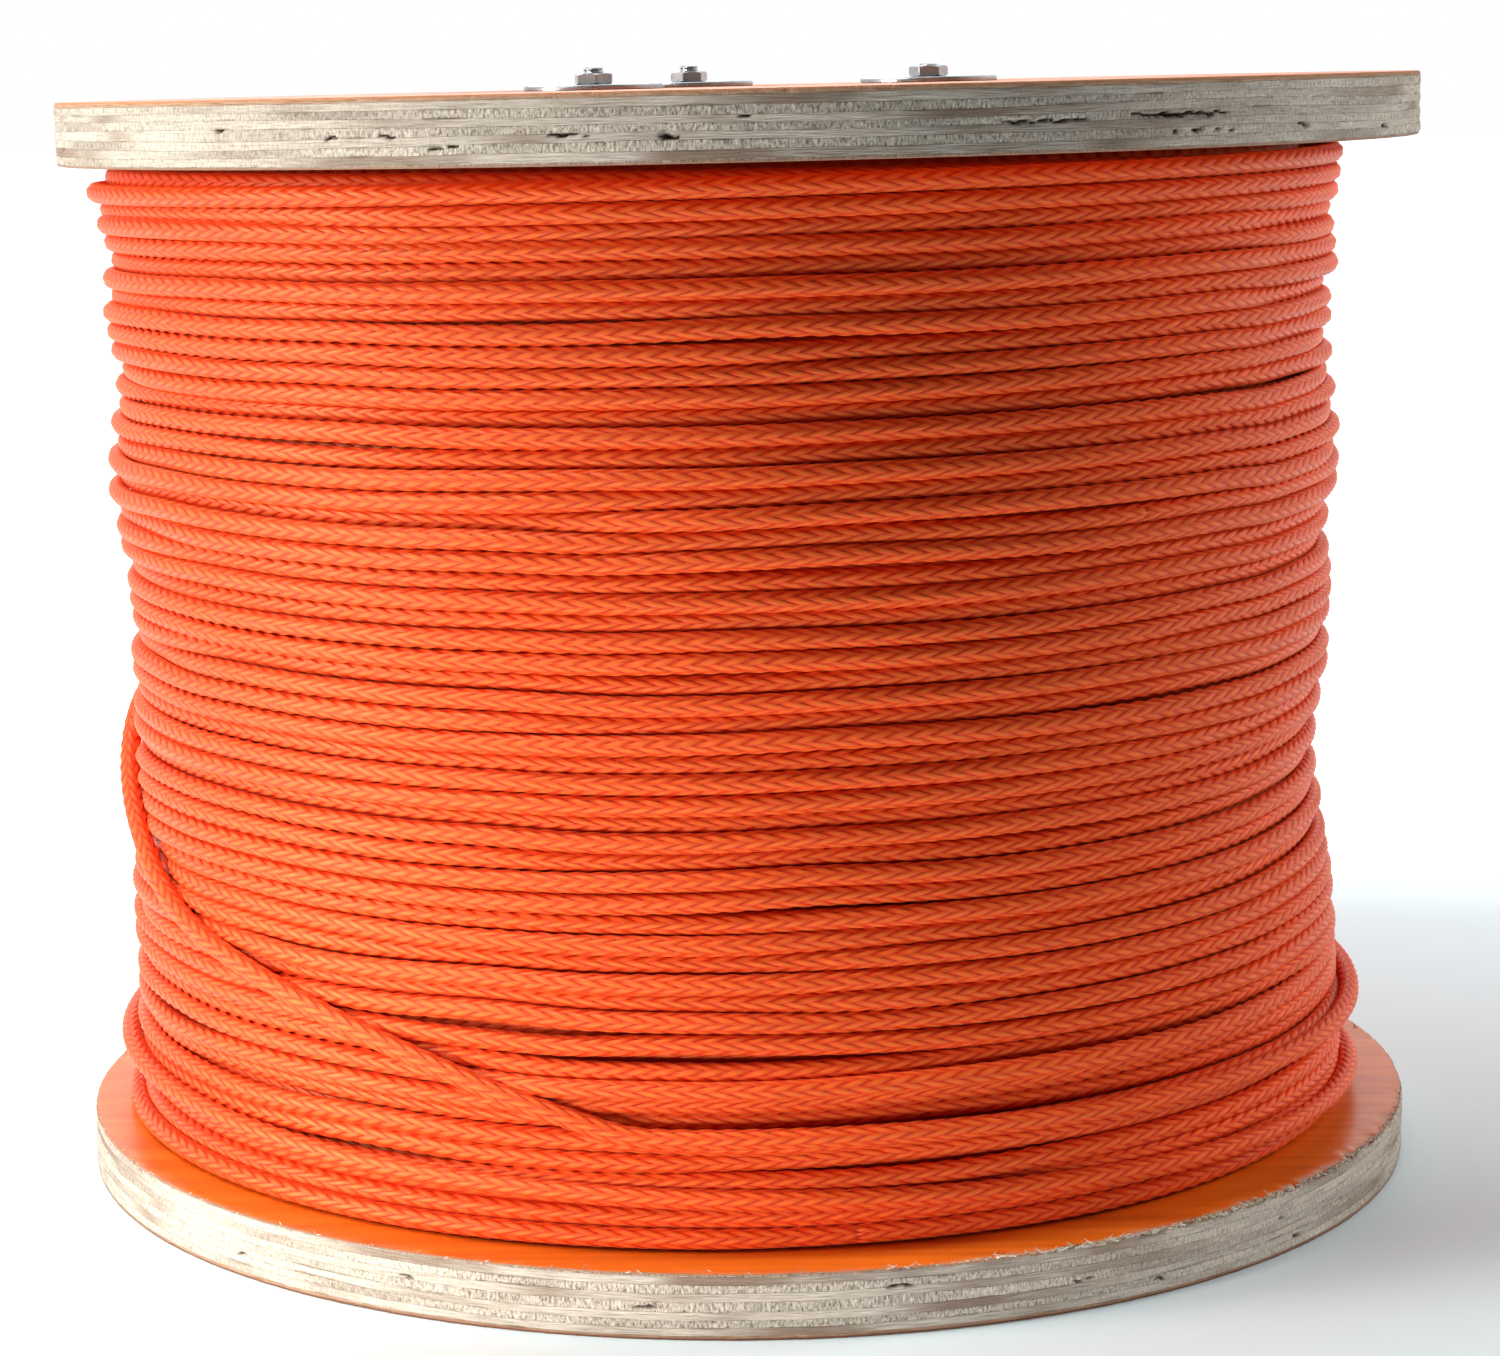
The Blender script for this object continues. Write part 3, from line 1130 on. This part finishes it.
def rim_relief(bearing, depth, seed, chipped, gaps):
    """How far the sawn edge lies inside the flange's radius, and how hollow it is there."""
    around = bearing / 360
    number = ply_number(around, depth, seed)
    index = np.floor(number)

    def rough(cells, down, number):
        return noise_band(around * cells, down, cells, seed + number)

    # Plies show end grain or long grain by turns, and change places with the bearing
    end_even = np.cos(np.radians(bearing)) ** 2
    end_grain = np.where(index % 2 == 0, end_even, 1 - end_even)
    broken = 0.14 * rough(420, depth * 0.6, 1) + 0.16 * rough(1500, depth * 0.9, 2)
    streak = 0.1 * rough(110, depth * 2.4, 3)
    step = 0.12 * rough(26, index * 7.3, 4)
    inset = 0.32 + step + end_grain * broken + (1 - end_grain) * streak
    from_seam = np.minimum(number - index, 1 - number + index)
    seam = np.exp(-((from_seam / 0.09) ** 2))
    torn = np.clip((rough(170, index * 3.1, 5) - 0.35) * 2.4, 0, 1)
    inset += seam * (0.10 + 0.40 * torn)
    hollow = 0.45 * seam * torn
    ragged = rough(700, depth * 1.4, 7)
    for b0, d0, half_l, half_h in gaps:
        travel = np.radians((bearing - b0 + 180) % 360 - 180) * FLANGE_R
        wander = 0.45 * noise_line(travel + 50 * half_l, 2.3, seed + 30)
        height = half_h * (0.75 + 0.5 * noise_line(travel + 50 * d0, 1.4, seed + 31))
        reach = (travel / half_l) ** 2 + ((depth - d0 + wander) / height) ** 2 + 0.4 * ragged
        open_here = np.clip((1.1 - reach) * 1.6, 0, 1)
        inset += 1.5 * open_here
        hollow = np.maximum(hollow, open_here)
    if chipped:
        lost = chipped(bearing) * np.clip((depth - (FLANGE_T - 2.2)) / 1.8, 0, 1)
        jagged, deep = rough(520, depth * 0.8, 8), rough(260, depth * 0.4, 9)
        inset += lost * np.clip(0.5 + 0.9 * jagged + 0.7 * deep, 0, 2)
        hollow = np.maximum(hollow, lost * np.clip(deep * 1.4 + jagged * 0.6 - 0.2, 0, 0.8))
    return np.maximum(inset, 0.02), hollow


def rim_rows(seed, chipped, gaps):
    """Rings of points from the outer face round the edge to the inner, how hollow, which ply."""
    bearing = np.arange(RIM_BEARINGS) * 360 / RIM_BEARINGS
    around = bearing / 360
    ring = circle(1.0, RIM_BEARINGS)
    depths = np.concatenate([[0.25], np.arange(ARRIS, FLANGE_T - 0.6, 0.5), [FLANGE_T - 0.25]])
    profile = [(radius, 0.0) for radius in FACE_RADII]
    profile += [(FLANGE_R, depth) for depth in depths]
    profile += [(radius, FLANGE_T) for radius in FACE_RADII[::-1]]

    def ragged(radius, cells, tall, number):
        return noise_band(around * cells, 0 * around + radius * tall, cells, seed + number)

    rows, hollows, plies = [], [], []
    for radius, depth in profile:
        at = np.full(RIM_BEARINGS, depth)
        inset, hollow = rim_relief(bearing, at, seed, chipped, gaps)
        drop = 0 * at
        if depth in (0.0, FLANGE_T):
            edge_share = smooth((radius - 196.5) / 3.2)
            hollow = 0 * at
            if chipped and depth:
                reach = 1.9 * smooth((radius - 195.2) / 3.4) - 0.9
                reach += 1.1 * ragged(radius, 330, 0.45, 12) + 0.8 * ragged(radius, 90, 0.2, 13)
                hollow = chipped(bearing) * np.clip(reach, 0, 1) * smooth((radius - 193.5) / 3)
            drop = 0.05 * edge_share + np.clip(hollow * 0.9, 0, 1)
            inset = inset * edge_share * (radius > 198.5)
        elif depth in (depths[0], depths[-1]):
            inset = inset + 0.35 * ARRIS
        if chipped and FLANGE_T - 1.3 < depth < FLANGE_T:
            lost = 0.5 * chipped(bearing) * np.clip(ragged(199, 330, 0.45, 12) + 0.4, 0, 1)
            drop = lost * (depth - FLANGE_T + 1.3)
        level = at - drop if depth else at + drop
        rows.append(np.column_stack([ring * (radius - inset)[:, None], level]))
        hollows.append(hollow)
        plies.append(ply_number(around, at, seed))
    return np.concatenate(rows), np.concatenate(hollows), np.concatenate(plies)


def flat_region(outline, holes):
    """Triangles of a flat region inside one outline and outside the round holes."""
    loops = [outline] + holes
    points = np.concatenate(loops)
    edges, at = [], 0
    for loop in loops:
        edges += [(at + k, at + (k + 1) % len(loop)) for k in range(len(loop))]
        at += len(loop)
    made = delaunay_2d_cdt([Vector(p) for p in points], edges, [], 1, 1e-5)
    sources = np.array([group[0] for group in made[3]])
    triangles = sources[np.array(made[2])]
    centre = points[triangles].mean(1)
    keep = np.ones(len(triangles), bool)
    for hole in holes:
        hole_at = hole.mean(0)
        keep &= np.linalg.norm(centre - hole_at, axis=1) > np.linalg.norm(hole[0] - hole_at) * 0.999
    triangles = triangles[keep]
    a, b, c = (points[triangles[:, k]] for k in range(3))
    turn = (b - a)[:, 0] * (c - a)[:, 1] - (b - a)[:, 1] * (c - a)[:, 0]
    triangles[turn < 0] = triangles[turn < 0][:, ::-1]
    return triangles


class Solid:
    """Points and faces gathered loop by loop."""

    def __init__(self):
        self.points, self.faces, self.count = [], {}, 0

    def add(self, points):
        start = self.count
        self.points.append(np.asarray(points, float))
        self.count += len(points)
        return start + np.arange(len(points))

    def loop(self, outline, z):
        return self.add(np.column_stack([outline, np.broadcast_to(z, len(outline))]))

    def face(self, kind, faces):
        self.faces.setdefault((kind, faces.shape[1]), []).append(faces)

    def walls(self, kind, loops):
        """Quads between loops of equal length, each loop with the next."""
        for a, b in zip(loops, loops[1:]):
            self.face(kind, np.stack([a, np.roll(a, -1), np.roll(b, -1), b], -1))


def flange_board(name, node, mirrored, chipped, gaps, materials, seed):
    """A plywood disc, made with its outer face at depth 0 and its inner face at FLANGE_T."""
    solid = Solid()
    rim, hollow, ply = rim_rows(seed, chipped, gaps)
    rim_ids = solid.add(rim).reshape(-1, RIM_BEARINGS)
    strips = ring_strips(len(rim_ids), RIM_BEARINGS)
    on_face = (len(FACE_RADII) - 1) * RIM_BEARINGS
    solid.face("face", strips[:on_face])
    solid.face("edge", strips[on_face:-on_face])
    solid.face("face", strips[-on_face:])

    def flat(depth, outline, holes, outline_ids=None):
        """Flat part of a face; its loops are shared with the walls of the holes."""
        ids = [solid.loop(outline, depth) if outline_ids is None else outline_ids]
        ids += [solid.loop(hole, depth) for hole in holes]
        faces = np.concatenate(ids)[flat_region(outline, holes)]
        solid.face("face", faces if depth else faces[:, ::-1])
        return ids

    # The board's own rim, the arbor hole and the rod holes, which tee nuts widen below
    has_tees = not mirrored
    arbor = circle(ARBOR_R, 96)
    rod_holes = [circle(ROD_HOLE_R, 40, centre) for centre in ROD_PLACES]
    sinks = [circle(TEE_R + TEE_GAP, 64, centre) for centre in ROD_PLACES]
    rim_loop = circle(FACE_RADII[0], RIM_BEARINGS)
    groove_out = circle(BARREL_R + GROOVE_GAP, 192)
    groove_in = circle(BARREL_R - BARREL_WALL - GROOVE_GAP, 192)
    outside = flat(0.0, rim_loop, [arbor] + (sinks if has_tees else rod_holes), rim_ids[0])
    beyond = flat(FLANGE_T, rim_loop, [groove_out], rim_ids[-1])
    within = flat(FLANGE_T, groove_in, [arbor] + rod_holes)
    floor = [solid.loop(outline, FLANGE_T - GROOVE_DEPTH) for outline in (groove_out, groove_in)]
    solid.walls("edge", [beyond[1], *floor, within[0]])
    solid.walls("edge", [within[1], outside[1]])
    for k, centre in enumerate(ROD_PLACES):
        if not has_tees:
            solid.walls("edge", [within[2 + k], outside[2 + k]])
            continue
        wide, narrow = sinks[k], circle(ROD_HOLE_R, 64, centre)
        sleeve = circle(TEE_SLEEVE_R + TEE_GAP, 64, centre)
        sink_floor, bore_floor = TEE_BOTTOM + TEE_T, TEE_TOP + TEE_GAP
        steps = [
            (narrow, FLANGE_T), (narrow, bore_floor), (sleeve, bore_floor), (sleeve, sink_floor),
            (wide, sink_floor),
        ]
        solid.walls("edge", [solid.loop(*step) for step in steps] + [outside[2 + k]])

    points = np.concatenate(solid.points)
    rest = points[len(rim) :, 2]
    if mirrored:
        points = lean(points * np.array([1, 1, -1]) + np.array([0, 0, REEL_H]))
    # A mirrored board is turned inside out, so its faces are listed the other way round
    order = -1 if mirrored else 1
    face_sets = [np.concatenate(groups)[:, ::order] for groups in solid.faces.values()]
    kinds = [0 if kind == "face" else 1 for kind, _ in solid.faces]
    board = build(name, points, face_sets, materials, material_sets=kinds)
    ply_below = (rest - SKIN_T) / PLY_T
    for key, values in (("hollow", [hollow, 0 * rest]), ("ply", [ply, ply_below])):
        layer = board.data.attributes.new(key, "FLOAT", "POINT")
        layer.data.foreach_set("value", np.concatenate(values).astype(np.float32))
    place(board, "plywood", node)


def torn_at(bearing):
    """How torn the bottom flange's upper edge is: most at the front right."""
    off = (bearing - 315 + 180) % 360 - 180
    return 0.16 + 0.84 * np.exp(-((off / 27) ** 4))


# Slivers tried, of which the torn stretch keeps the most, and four cuts along each: share of
# its length and of its width
SPLINTER_TRIES = 7000
SPLINTER_CUTS = ((-0.1, 1.0), (0.3, 0.8), (0.65, 0.5), (1.0, 0.08))


def make_splinters(material):
    """Slivers that the saw tore up along the bottom flange's upper edge, as thin curved spikes."""
    rng = np.random.default_rng(71)
    bearing = rng.uniform(0, 360, SPLINTER_TRIES)
    bearing = bearing[rng.uniform(0, 1, len(bearing)) < torn_at(bearing) ** 1.6]
    count = len(bearing)

    def draw(low, high):
        return rng.uniform(low, high, (count, 1))

    length = rng.gamma(2.0, 0.5, (count, 1)) + 0.4
    angle = np.radians(bearing)
    level = 0 * angle
    out = np.stack([np.cos(angle), np.sin(angle), level], -1)
    rim_way = np.stack([-np.sin(angle), np.cos(angle), level], -1) * rng.choice([-1, 1], (count, 1))
    up = np.array([0.0, 0.0, 1.0])
    root = (FLANGE_R - draw(0.5, 1.9)) * out + (FLANGE_T - draw(0.15, 0.9)) * up
    aim = unit(rim_way + draw(-0.5, 0.35) * out + draw(0.0, 0.4) * up)
    curl = draw(-0.25, 0.35) * out + draw(-0.15, 0.45) * up
    side = unit(np.cross(aim, out))
    other = np.cross(aim, side)
    width = draw(0.12, 0.34) * np.minimum(length, 2) ** 0.5
    rings = []
    for share, size in SPLINTER_CUTS:
        spine = root + length * share * (aim + curl * share)
        for turn in (0, 2.1, 4.2):
            spread = math.cos(turn) * side + 0.5 * math.sin(turn) * other
            rings.append(spine + width * size * spread)
    points = np.stack(rings, 1)
    reach = np.hypot(points[..., 0], points[..., 1])
    points[..., :2] *= (np.minimum(reach, FLANGE_R - 0.1) / reach)[..., None]
    first = 12 * np.arange(count)[:, None, None]
    sides = (first + ring_strips(len(SPLINTER_CUTS), 3)).reshape(-1, 4)
    ends = (first + np.array([[2, 1, 0], [9, 10, 11]])).reshape(-1, 3)
    slivers = build("torn_slivers", points.reshape(-1, 3), [sides, ends], [material])
    place(slivers, "plywood", "bottom_flange")


# ---------------------------------------------------------------- hardware

TURNED_SIDES = 96
BORE_GAP = 0.05
THREAD_PITCH = 1.0
THREAD_DEPTH = 0.55
THREAD_SIDES = 24


def lathe(centre, profile):
    """Closed solid round an upright axis, from an outline of radii and heights.

    A radius or height may be an array, with a value for each side of the ring.
    """
    solid = Solid()
    loops = [solid.loop(circle(r, TURNED_SIDES, centre), z) for r, z in profile]
    solid.walls("zinc", loops + loops[:1])
    return solid


def washer(_, centre):
    """Penny washer with a rolled upper edge and a burr below."""
    low, high, r, bore = REEL_H, REEL_H + WASHER_T, WASHER_R, ROD_R + 0.3
    return lathe(centre, [
        (bore, low), (r - 0.25, low), (r, low + 0.2), (r, high - 0.55), (r - 0.15, high - 0.2),
        (r - 0.6, high), (r * 0.55, high), (bore + 0.45, high), (bore + 0.1, high - 0.15),
        (bore, high - 0.45),
    ])


def nut(k, centre):
    """Thin hexagon nut, chamfered above and below, with its countersunk thread."""
    angle = 2 * np.pi * np.arange(TURNED_SIDES) / TURNED_SIDES - math.radians(NUT_TURNS[k])
    low, high, flat_r, bore = NUT_BASE, NUT_TOP, NUT_AF / 2, ROD_R + BORE_GAP
    hexagon = flat_r / np.cos(angle % (math.pi / 3) - math.pi / 6)
    face_r = flat_r - 0.15
    drop = (hexagon - face_r) * math.tan(math.radians(30))
    return lathe(centre, [
        (bore, low + 0.5), (bore + 0.5, low), (face_r, low), (hexagon, low + drop),
        (hexagon, high - drop), (face_r, high), (bore + 0.5, high), (bore, high - 0.5),
    ])


def tee_nut(k, centre):
    """Tee nut: a flange notched where its prongs were bent down, and a sleeve."""
    angle = 2 * np.pi * np.arange(TURNED_SIDES) / TURNED_SIDES
    notch = np.clip((np.cos(4 * angle + k) - 0.72) * 8, 0, 1)
    rim, sleeve, bore = TEE_R - 2.2 * notch, TEE_SLEEVE_R, ROD_R + BORE_GAP
    low, step, high = TEE_BOTTOM, TEE_BOTTOM + TEE_T, TEE_TOP
    return lathe(centre, [
        (bore + 0.4, low), (rim - 0.3, low), (rim, low + 0.3), (rim, step), (sleeve, step),
        (sleeve, high - 0.3), (sleeve - 0.3, high), (bore, high), (bore, low + 0.5),
    ])


def rod(_, centre):
    """Rod with a true helical thread and chamfered ends."""
    steps = int((ROD_TOP - ROD_BOTTOM) / THREAD_PITCH * 4)
    z = ROD_BOTTOM + 0.001 + (ROD_TOP - ROD_BOTTOM - 0.002) * np.arange(steps + 1) / steps
    phase = ((z - ROD_BOTTOM) / THREAD_PITCH)[:, None] - np.arange(THREAD_SIDES) / THREAD_SIDES
    tooth = np.abs((phase % 1) * 2 - 1)
    r = ROD_R - 0.01 - THREAD_DEPTH * np.clip(tooth * 1.25 - 0.1, 0, 1)
    from_end = np.minimum(z - ROD_BOTTOM, ROD_TOP - z)
    r = np.minimum(r, ROD_R - 0.5 + from_end[:, None])
    solid = Solid()
    loops = [solid.loop(circle(ring_r, THREAD_SIDES, centre), ring_z) for ring_r, ring_z in zip(r, z)]
    solid.walls("zinc", loops)
    for loop, height in ((loops[0][::-1], z[0]), (loops[-1], z[-1])):
        hub = solid.loop([centre], height)
        fan = [loop, np.roll(loop, -1), np.broadcast_to(hub, THREAD_SIDES)]
        solid.face("zinc", np.stack(fan, -1))
    return solid


# Each kind of piece, the CAD nodes that it stands for, and the function that makes it
HARDWARE = [
    ("washer_plate", "washer", washer),
    ("thin_nut", "hex_nut", nut),
    ("threaded_rod", "tie_rod", rod),
    ("tee_nut_plate", "tee_nut", tee_nut),
]


def make_hardware(material):
    for name, node, make in HARDWARE:
        for k, centre in enumerate(ROD_PLACES):
            solid = make(k, centre)
            points = np.concatenate(solid.points)
            if points[:, 2].min() > INNER_TOP:
                points = lean(points)
            face_sets = [np.concatenate(groups) for groups in solid.faces.values()]
            flats = () if make is rod else range(len(face_sets))
            piece = build(f"{name}_{k + 1}", points, face_sets, [material], flat_sets=flats)
            place(piece, "zinc_steel", f"{node}_{k + 1}")


# ---------------------------------------------------------------- floor and background

# The floor's corners in millimetres, its colour and that of its glow
FLOOR = [[-9000, -3000, 0], [9000, -3000, 0], [9000, 14000, 0], [-9000, 14000, 0]]
FLOOR_COLOUR, GLOW_COLOUR = (0.71, 0.85, 0.92, 1), (0.92, 0.98, 1, 1)
# Strength of the glow where the shadow falls
LEAST_GLOW = 0.06


def make_floor():
    """Pale floor that keeps the reel's shadow and glows to white behind and beside it."""
    g = Graph("floor")
    g.finish(base_color=FLOOR_COLOUR, roughness=0.55)
    path = g.node("LightPath").outputs
    shown = g.math("MAXIMUM", path["Is Camera Ray"], path["Is Glossy Ray"])
    shown = g.math("MAXIMUM", shown, path["Is Transmission Ray"])
    x, y, _ = g.axes(g.place())
    behind = g.remap(y, -0.12, 0.95, LEAST_GLOW, 1.0)
    leftward = g.remap(g.scaled(y, 0.4, g.times(x, -1.0)), -0.05, 0.4, 0.03, 0.9)
    away = g.remap(g.distance(x, y), 0.55, 1.3, LEAST_GLOW, 1.0)
    strength = g.math("MAXIMUM", away, g.math("MAXIMUM", behind, leftward))
    glow = g.node("Emission", {"Color": GLOW_COLOUR, "Strength": g.times(shown, strength)})
    both = g.node("AddShader", {0: g.shader.outputs[0], 1: glow.outputs[0]})
    g.put(g.tree.nodes["Material Output"].inputs["Surface"], both.outputs[0])
    build("floor", FLOOR, [np.array([[0, 1, 2, 3]])], [g.owner])


def make_world():
    """White to the camera, dim to what it lights, and a studio to reflections."""
    g = Graph("studio", world=True)
    bpy.context.scene.world = g.owner
    path = g.node("LightPath").outputs
    shiny = g.math("MAXIMUM", path["Is Glossy Ray"], path["Is Transmission Ray"])
    # Reflections see the white backdrop behind the reel and the darker room before it
    room = g.remap(g.axes(g.node("TexCoord").outputs["Generated"])[1], -0.5, 0.35, 0.15, 1.0)
    strength = g.choose(path["Is Camera Ray"], g.choose(shiny, AMBIENT, room), 1.0)
    g.put(g.shader.inputs["Color"], (1, 1, 1, 1))
    g.put(g.shader.inputs["Strength"], strength)


def main():
    bpy.context.scene.view_settings.view_transform = "Standard"
    make_camera()
    rope = rope_material()
    z, r, rope_end, ahead = wind_rope(rope)
    make_sleeve(rope_end, ahead, sleeve_material())
    make_tape(z, r, rope_end, ahead, tape_material())
    make_knot(rope)
    wood = [ply_face_material(), ply_edge_material()]
    gaps = BOTTOM_GAPS + random_gaps(41)
    flange_board("bottom_flange_board", "bottom_flange", False, torn_at, gaps, wood, 100)
    make_splinters(torn_wood_material())
    gaps = TOP_GAPS + random_gaps(42)
    flange_board("top_flange_board", "top_flange", True, None, gaps, wood, 200)
    make_hardware(zinc_material())
    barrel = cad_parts["barrel_tube"].data.materials
    barrel.clear()
    barrel.append(board_material())
    make_lights()
    make_floor()
    make_world()


main()
